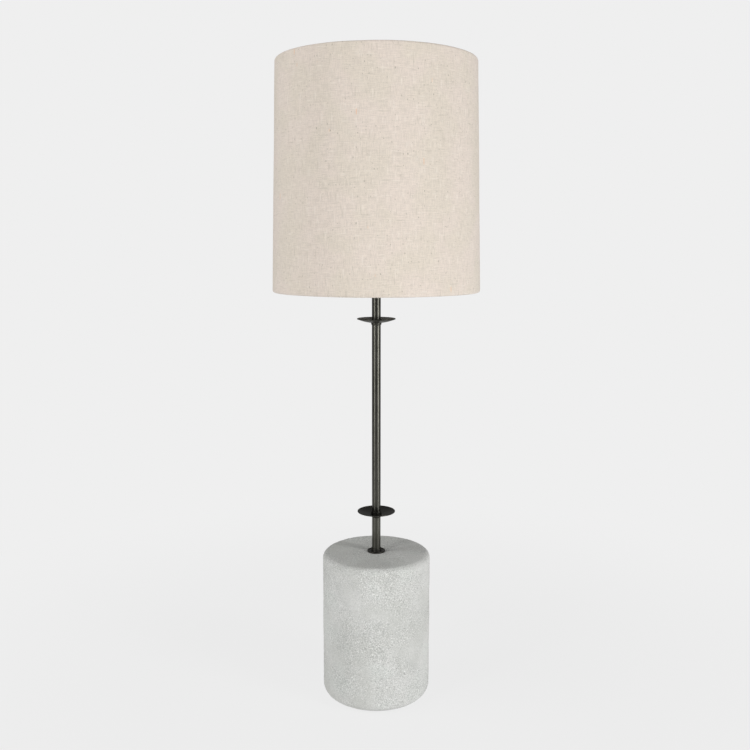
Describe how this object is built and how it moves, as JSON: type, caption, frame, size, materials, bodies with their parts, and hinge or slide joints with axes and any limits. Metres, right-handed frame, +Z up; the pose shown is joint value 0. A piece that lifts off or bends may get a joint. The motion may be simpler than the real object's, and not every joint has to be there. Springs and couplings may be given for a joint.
{
  "type": "table lamp",
  "caption": "Tall table lamp: a cylindrical cast concrete base, a thin dark metal stem with shallow saucers, and a linen drum shade clamped on a screw lampholder with its bulb.",
  "frame": {"origin": "on the table at the lamp's axis, under the centre of the base", "axes": "+Z up along the stem; the back of the lamp, where the cord enters, faces +Y"},
  "size_m": [0.2318, 0.2318, 0.7255],
  "materials": {
    "concrete": "rough cast concrete, light grey, fine grains and pits",
    "dark_bronze": "dark bronze plating, brushed satin",
    "zinc_steel": "bright zinc plating",
    "brass": "plain brass",
    "nickel": "nickel plating",
    "black_rubber": "matte black",
    "white_nylon": "natural nylon",
    "brown_pvc": "brown insulation",
    "blue_pvc": "blue insulation",
    "green_pvc": "green and yellow insulation",
    "black_phenolic": "moulded, semi-gloss",
    "porcelain": "white electrical porcelain",
    "black_glass": "black contact insulator",
    "white_housing": "white moulded housing",
    "board": "white solder mask",
    "opal": "opal diffuser",
    "linen": "oatmeal linen with slubs and dark flecks",
    "liner": "white satin lining film",
    "white_wire": "white powder coat"
  },
  "bodies": {
    "lamp": {"concrete_base": "concrete", "base_cover_plate": "zinc_steel", "cover_screws": "zinc_steel", "threaded_inserts": "brass", "rubber_feet": "black_rubber", "cord_bush": "black_rubber", "stem_tube": "dark_bronze", "foot_flange": "dark_bronze", "stem_washer": "zinc_steel", "stem_spring_washer": "zinc_steel", "earth_tag": "brass", "stem_nut": "zinc_steel", "lower_saucer": "dark_bronze", "lower_saucer_collar": "dark_bronze", "upper_saucer": "dark_bronze", "upper_saucer_collar": "dark_bronze", "terminal_block": "white_nylon", "terminal_sleeves": "brass", "terminal_screws": "zinc_steel", "live_wire": "brown_pvc", "neutral_wire": "blue_pvc", "earth_wire": "green_pvc", "holder_lock_nut": "zinc_steel", "holder_cap": "black_phenolic", "holder_grub_screw": "white_nylon", "holder_skirt": "black_phenolic", "holder_insulator": "porcelain", "holder_terminals": "brass", "holder_terminal_screws": "zinc_steel", "screw_shell": "brass", "centre_contact": "brass"},
    "shade": {"shade_fabric": "linen", "shade_liner": "liner", "shade_top_ring": "white_wire", "shade_bottom_ring": "white_wire", "fitter_arms": "white_wire", "fitter_ring": "white_wire"},
    "shade_washer": {"shade_washer": "zinc_steel"},
    "retaining_ring": {"retaining_ring": "black_phenolic"},
    "bulb_tip": {"bulb_tip": "brass"},
    "bulb": {"bulb_insulator": "black_glass", "bulb_cap": "nickel", "bulb_housing": "white_housing", "bulb_led_board": "board", "bulb_diffuser": "opal"}
  },
  "joints": [
    {"name": "shade_turn", "type": "hinge", "parent": "lamp", "child": "shade", "pos_m": [0, 0, 0.536], "axis": [0, 0, 1], "continuous": true},
    {"name": "ring_rise", "type": "slide", "parent": "lamp", "child": "shade_washer", "axis": [0, 0, 1], "range_m": [0, 0.01]},
    {"name": "ring_turn", "type": "hinge", "parent": "shade_washer", "child": "retaining_ring", "pos_m": [0, 0, 0.54], "axis": [0, 0, 1], "range_deg": [0, 1440]},
    {"name": "bulb_rise", "type": "slide", "parent": "lamp", "child": "bulb_tip", "axis": [0, 0, 1], "range_m": [0, 0.01815]},
    {"name": "bulb_turn", "type": "hinge", "parent": "bulb_tip", "child": "bulb", "pos_m": [0, 0, 0.5368], "axis": [0, 0, 1], "range_deg": [0, 1800]}
  ],
  "couplings": [
    {"joint": "ring_turn", "follows": "ring_rise", "rad_per_m": 2513.3},
    {"joint": "bulb_turn", "follows": "bulb_rise", "rad_per_m": 1730.9}
  ]
}
